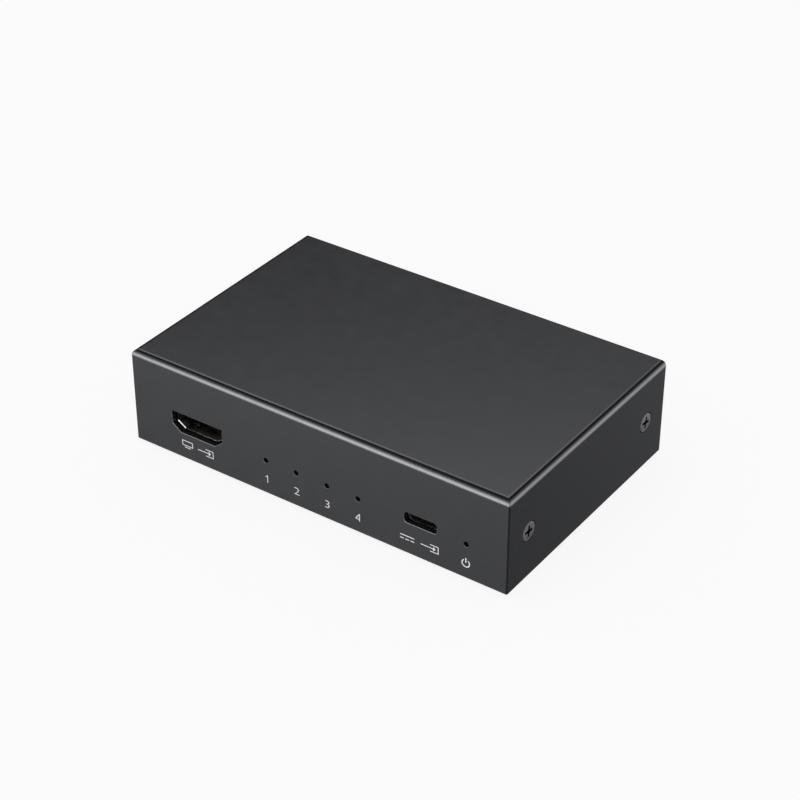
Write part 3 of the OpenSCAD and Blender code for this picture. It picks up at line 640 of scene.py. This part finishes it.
class Ink:
    """White marks on the front or the back, a thin film of flat strokes."""

    def __init__(self, name, front=True):
        self.name, self.front, self.bm = name, front, bmesh.new()

    def shape(self, pts):
        """Closed outline of (x, z) as read from that side; z from the underside of the case."""
        s = 1 if self.front else -1
        y0 = -s * (HY - 0.01)
        y1 = -s * (HY + INK_T)
        rings = [[(s * x, y, z + LIFT) for x, z in pts] for y in (y0, y1)]
        skin(self.bm, rings)

    def bar(self, x0, z0, x1, z1):
        self.shape([(x0, z0), (x1, z0), (x1, z1), (x0, z1)])

    def ring(self, cx, cz, r, t, a0, a1, seg=40):
        """Part of a ring from a0 to a1 degrees, as one closed band."""
        outer = [(cx + (r) * math.cos(math.radians(a0 + (a1 - a0) * k / seg)), cz + r * math.sin(math.radians(a0 + (a1 - a0) * k / seg))) for k in range(seg + 1)]
        inner = [(cx + (r - t) * math.cos(math.radians(a0 + (a1 - a0) * k / seg)), cz + (r - t) * math.sin(math.radians(a0 + (a1 - a0) * k / seg))) for k in range(seg + 1)]
        s = 1 if self.front else -1
        rings = []
        for k in range(seg + 1):
            (xo, zo), (xi, zi) = outer[k], inner[k]
            y0, y1 = -s * (HY - 0.01), -s * (HY + INK_T)
            rings.append([(s * xo, y0, zo + LIFT), (s * xo, y1, zo + LIFT), (s * xi, y1, zi + LIFT), (s * xi, y0, zi + LIFT)])
        skin(self.bm, rings)

    def frame(self, x0, z0, x1, z1, t, gap=None):
        """Rectangular outline of line width t; gap leaves its left side open."""
        self.bar(x0, z1 - t, x1, z1)
        self.bar(x0, z0, x1, z0 + t)
        self.bar(x1 - t, z0 + t, x1, z1 - t)
        if gap is None:
            self.bar(x0, z0 + t, x0 + t, z1 - t)

    def arrow_in(self, x0, zc, w, h, t):
        """An arrow that runs into a frame open on its left."""
        head = h * 0.3
        tip = x0 + w - t - 0.55
        self.bar(x0, zc - t / 2, tip - head * 1.15, zc + t / 2)
        self.shape([(tip - head * 1.15, zc - head), (tip, zc), (tip - head * 1.15, zc + head)])
        self.frame(x0 + w - 2.3, zc - h / 2, x0 + w, zc + h / 2, t, gap=True)

    def digit(self, text, cx, cz, height):
        """A plain numeral set to a height: 1 and 4 are drawn here, 2 and 3 come from the program's built-in face, set a
        little wider and lighter."""
        k = height
        if text == "4":
            # stem, bar and slope, edge to edge
            for pts in (((0.15, 0), (0.27, 0), (0.27, 1), (0.15, 1)), ((-0.34, 0.22), (0.15, 0.22), (0.15, 0.33), (-0.34, 0.33)), ((-0.34, 0.33), (-0.2, 0.33), (0.15, 0.83), (0.15, 1))):
                self.shape([(cx + x * k, cz + (z - 0.5) * k) for x, z in pts])
            return
        if text == "1":
            self.shape([(cx + x * k, cz + (z - 0.5) * k) for x, z in ((0.12, 0), (0.12, 1), (0.05, 1), (-0.22, 0.82), (-0.22, 0.72), (0.015, 0.84), (0.015, 0))])
            return
        cu = bpy.data.curves.new("numeral", "FONT")
        cu.body = text
        cu.size = 1.0
        cu.resolution_u = 6
        cu.offset = -0.015
        ob = bpy.data.objects.new("numeral", cu)
        SCENE.collection.objects.link(ob)
        dg = bpy.context.evaluated_depsgraph_get()
        me = bpy.data.meshes.new_from_object(ob.evaluated_get(dg))
        bm = bmesh.new()
        bm.from_mesh(me)
        bmesh.ops.remove_doubles(bm, verts=bm.verts, dist=1e-5)
        xs = [v.co.x for v in bm.verts]
        zs = [v.co.y for v in bm.verts]
        k = height / (max(zs) - min(zs))
        ox, oz = (max(xs) + min(xs)) / 2, (max(zs) + min(zs)) / 2
        s = 1 if self.front else -1
        y0, y1 = -s * (HY - 0.01), -s * (HY + INK_T)
        for v in bm.verts:
            v.co = Vector((s * (cx + (v.co.x - ox) * k * 1.26), y1, cz + (v.co.y - oz) * k + LIFT)) * MM
        got = bmesh.ops.extrude_face_region(bm, geom=bm.faces[:])
        for v in [g for g in got["geom"] if isinstance(g, bmesh.types.BMVert)]:
            v.co.y = y0 * MM
        tmp = bpy.data.meshes.new("numeral")
        bm.to_mesh(tmp)
        bm.free()
        self.bm.from_mesh(tmp)
        bpy.data.meshes.remove(tmp)
        bpy.data.objects.remove(ob)
        bpy.data.curves.remove(cu)
        bpy.data.meshes.remove(me)

    def done(self):
        ob = new_object(self.name, self.bm, 30)
        ob.data.materials.append(INK)
        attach(ob, "root")
        return ob


def make_print():
    zc = 4.06
    channel = Ink("channel_numbers")
    for i, x in enumerate(LED_X):
        channel.digit(str(i + 1), x + (0.17, 0.08, 0.08, 0.0)[i], zc - (0.06, 0, 0, 0)[i], 2.0)
    channel.done()
    video = Ink("video_input_mark")
    # a screen on its stand, then the arrow into a frame
    video.frame(-38.3, 3.6, -35.1, 5.1, 0.2)
    video.bar(-37.6, 3.08, -35.8, 3.28)
    video.arrow_in(-33.6, 4.08, 4.7, 2.0, 0.2)
    video.done()
    power = Ink("power_input_mark")
    # direct current: one line over a broken line, then the arrow into a frame
    power.bar(24.3, 4.47, 28.1, 4.71)
    for k in range(3):
        power.bar(24.3 + 1.4 * k, 3.54, 25.3 + 1.4 * k, 3.78)
    power.arrow_in(29.8, 4.12, 4.8, 2.0, 0.21)
    power.done()
    lamp = Ink("power_light_mark")
    lamp.ring(PWR_LED_X, 4.0, 1.12, 0.29, 125, 415)
    lamp.bar(PWR_LED_X - 0.15, 4.15, PWR_LED_X + 0.15, 5.4)
    lamp.done()
    rear = Ink("output_numbers", front=False)
    for i, x in enumerate(OUT_X):
        rear.digit(str(i + 1), -x, zc, 2.0)
    rear.done()


make_print()


# --------------------------------------------------- carried-over CAD nodes

for row in frame["record"]["subparts"]:
    paint(NODES[row["node"]], row["material_slot"])


# -------------------------------------------------------- floor and lights

def make_floor():
    bm = bmesh.new()
    s = 4000.0
    vs = [bm.verts.new(Vector(p) * MM) for p in ((-s, -s, 0), (s, -s, 0), (s, s, 0), (-s, s, 0))]
    bm.faces.new(vs)
    me = bpy.data.meshes.new("floor")
    bm.to_mesh(me)
    bm.free()
    ob = bpy.data.objects.new("floor", me)
    SCENE.collection.objects.link(ob)
    m = bpy.data.materials.new("floor_paper")
    m.use_nodes = True
    nt = m.node_tree
    sh = nt.nodes["Principled BSDF"]
    out = nt.nodes["Material Output"]
    sh.inputs["Base Color"].default_value = (0.11, 0.11, 0.11, 1)
    sh.inputs["Roughness"].default_value = 0.9
    sh.inputs["Specular IOR Level"].default_value = 0.0
    sh.inputs["Emission Color"].default_value = (1, 1, 1, 1)
    sh.inputs["Emission Strength"].default_value = 0.893
    # seen from below, the floor lets the underside be looked at
    geo = nt.nodes.new("ShaderNodeNewGeometry")
    clear = nt.nodes.new("ShaderNodeBsdfTransparent")
    mix = nt.nodes.new("ShaderNodeMixShader")
    nt.links.new(geo.outputs["Backfacing"], mix.inputs["Fac"])
    nt.links.new(sh.outputs["BSDF"], mix.inputs[1])
    nt.links.new(clear.outputs["BSDF"], mix.inputs[2])
    nt.links.new(mix.outputs["Shader"], out.inputs["Surface"])
    me.materials.append(m)
    ob.visible_glossy = False


def panel(name, toward, dist, w, h, radiance, glossy=True, diffuse=True, color=(1, 1, 1)):
    """Soft rectangular light seen from the object in direction toward, facing it."""
    li = bpy.data.lights.new(name, "AREA")
    li.shape = "RECTANGLE"
    li.size, li.size_y = w, h
    li.energy = radiance * math.pi * w * h
    li.color = color
    ob = bpy.data.objects.new(name, li)
    SCENE.collection.objects.link(ob)
    d = Vector(toward).normalized()
    ob.location = d * dist + Vector((0, 0, 0.013))
    ob.rotation_mode = "QUATERNION"
    ob.rotation_quaternion = d.to_track_quat("Z", "Y")
    ob.visible_glossy = glossy
    ob.visible_diffuse = diffuse
    ob.visible_camera = False
    return ob


def make_world():
    """White surround for the camera and for soft light. For gloss, a studio with a low soft box to the front left, one
    to the back right and a band high at the back left, dim overhead, and a floor that is palest to the front left."""
    w = bpy.data.worlds.new("studio")
    SCENE.world = w
    w.use_nodes = True
    # found by the surfaces' own rays, which know if they are gloss or soft light
    w.cycles.sampling_method = "NONE"
    nt = w.node_tree
    nt.nodes.clear()
    out = nt.nodes.new("ShaderNodeOutputWorld")
    co = nt.nodes.new("ShaderNodeTexCoord")
    path = nt.nodes.new("ShaderNodeLightPath")

    def dot(v):
        n = nt.nodes.new("ShaderNodeVectorMath")
        n.operation = "DOT_PRODUCT"
        nt.links.new(co.outputs["Generated"], n.inputs[0])
        n.inputs[1].default_value = v
        return n.outputs["Value"]

    def times(a, b):
        n = nt.nodes.new("ShaderNodeMath")
        n.operation = "MULTIPLY"
        for i, v in enumerate((a, b)):
            if isinstance(v, (int, float)):
                n.inputs[i].default_value = v
            else:
                nt.links.new(v, n.inputs[i])
        return n.outputs[0]

    def edge(v, soft):
        n = nt.nodes.new("ShaderNodeMapRange")
        n.interpolation_type = "SMOOTHSTEP"
        n.inputs["From Min"].default_value, n.inputs["From Max"].default_value = -soft / 2, soft / 2
        nt.links.new(v, n.inputs["Value"])
        return n.outputs["Result"]

    def wedge(a0, soft0, a1, soft1):
        """Directions between two bearings in degrees, counted from the front towards the right."""
        a, b = math.radians(a0), math.radians(a1)
        return times(edge(dot((math.cos(a), math.sin(a), 0)), soft0), edge(dot((-math.cos(b), -math.sin(b), 0)), soft1))

    def heights(stops):
        """Brightness from 0 to 1 by the sine of the elevation."""
        n = nt.nodes.new("ShaderNodeMapRange")
        n.inputs["From Min"].default_value, n.inputs["From Max"].default_value = -1.0, 1.0
        nt.links.new(dot((0, 0, 1)), n.inputs["Value"])
        r = nt.nodes.new("ShaderNodeValToRGB")
        els = r.color_ramp.elements
        while len(els) < len(stops):
            els.new(0.5)
        for e, (z, v) in zip(els, stops):
            e.position, e.color = (z + 1) / 2, (v, v, v, 1)
        nt.links.new(n.outputs["Result"], r.inputs["Fac"])
        return r.outputs["Color"]

    def background(strength, color=(1, 1, 1, 1)):
        b = nt.nodes.new("ShaderNodeBackground")
        b.inputs["Color"].default_value = color
        if isinstance(strength, (int, float)):
            b.inputs["Strength"].default_value = strength
        else:
            nt.links.new(strength, b.inputs["Strength"])
        return b.outputs[0]

    def plus(a, b):
        n = nt.nodes.new("ShaderNodeAddShader")
        nt.links.new(a, n.inputs[0])
        nt.links.new(b, n.inputs[1])
        return n.outputs[0]

    cool = (0.965, 0.98, 1.04, 1)
    box_front = heights([(-0.56, 0), (-0.46, 0.36), (-0.38, 0.96), (-0.33, 1.1), (-0.22, 0.86), (-0.08, 0.78), (0.05, 0.8), (0.18, 0.72), (0.3, 0.58), (0.42, 0.44), (0.52, 0.32), (0.6, 0.2), (0.68, 0.08), (0.74, 0.02), (0.79, 0)])
    fill = heights([(0.1, 0), (0.32, 1.0), (0.7, 0.8), (0.92, 0)])
    low_fill = heights([(0.05, 0), (0.25, 1.0), (0.5, 0.8), (0.68, 0)])
    back_fill = heights([(0.05, 0), (0.2, 1.0), (0.4, 0.9), (0.5, 0)])
    skirt = heights([(-0.5, 0), (-0.42, 0.7), (-0.3, 1.0), (-0.1, 0.9), (0.05, 0.5), (0.18, 0)])
    strip = heights([(-0.2, 0), (-0.08, 0.9), (0.03, 1.0), (0.1, 0.8), (0.19, 0)])
    box_back = heights([(-0.53, 0), (-0.47, 0.1), (-0.43, 0.22), (-0.38, 0.45), (-0.32, 0.6), (-0.22, 0.7), (-0.14, 0.8), (0.0, 1.0), (0.1, 0.97), (0.255, 0.62), (0.4, 0.22), (0.5, 0.05), (0.58, 0)])
    band = heights([(0.2, 0.0), (0.36, 0.002), (0.44, 0.014), (0.48, 0.03), (0.52, 0.07), (0.56, 0.17), (0.6, 0.315), (0.65, 0.53), (0.7, 0.83), (0.75, 1.0), (0.8, 0.86), (0.835, 0.28), (0.865, 0.02), (0.89, 0.0)])
    below = heights([(-1.0, 0.25), (-0.75, 0.4), (-0.64, 0.52), (-0.58, 0.735), (-0.54, 0.965), (-0.5, 1.04), (-0.42, 1.04), (-0.32, 0.55), (-0.22, 0)])
    level = heights([(-0.3, 0), (-0.02, 0.5), (0.3, 1.0), (0.42, 0.8), (0.52, 0)])
    top = heights([(0.93, 0), (0.97, 0.7), (1.0, 1.0)])
    gloss = plus(background(0.025, cool), background(times(top, 0.5), cool))
    for stops, a0, soft0, a1, soft1, gain in (
            (box_front, -44, 0.35, -14, 0.3, 2.9),
            (strip, -16, 0.2, 14, 0.2, 2.4),
            (fill, -10, 0.12, 84, 0.2, 0.85),
            (low_fill, 258, 0.2, 304, 0.2, 0.6),
            (back_fill, 160, 0.15, 188, 0.15, 0.6),
            (skirt, -8, 0.2, 86, 0.2, 0.75),
            (skirt, 166, 0.15, 198, 0.12, 0.75),
            (skirt, 237, 0.07, 300, 0.2, 0.75),
            (below, 237, 0.07, 304, 0.2, 0.7),
            (box_back, 98, 0.25, 158, 0.25, 1.3),
            (band, 186, 0.2, 250, 0.2, 3.5),
            (level, 184, 0.1, 216, 0.1, 0.17),
            (below, -44, 0.45, -16, 0.14, 1.25),
            (below, -16, 0.14, 96, 0.2, 0.14),
            (below, 90, 0.3, 190, 0.2, 0.258)):
        gloss = plus(gloss, background(times(times(stops, wedge(a0, soft0, a1, soft1)), gain), cool))

    m1 = nt.nodes.new("ShaderNodeMixShader")
    nt.links.new(path.outputs["Is Glossy Ray"], m1.inputs["Fac"])
    nt.links.new(background(0.45), m1.inputs[1])
    nt.links.new(gloss, m1.inputs[2])
    m2 = nt.nodes.new("ShaderNodeMixShader")
    nt.links.new(path.outputs["Is Camera Ray"], m2.inputs["Fac"])
    nt.links.new(m1.outputs[0], m2.inputs[1])
    nt.links.new(background(0.965), m2.inputs[2])
    nt.links.new(m2.outputs[0], out.inputs["Surface"])


make_floor()
make_world()
# soft overhead fill, for matt surfaces only
panel("fill", (-0.15, -0.35, 1), 1.6, 1.6, 1.6, 0.9, glossy=False)
SCENE.view_settings.view_transform = "Standard"
SCENE.view_settings.look = "None"
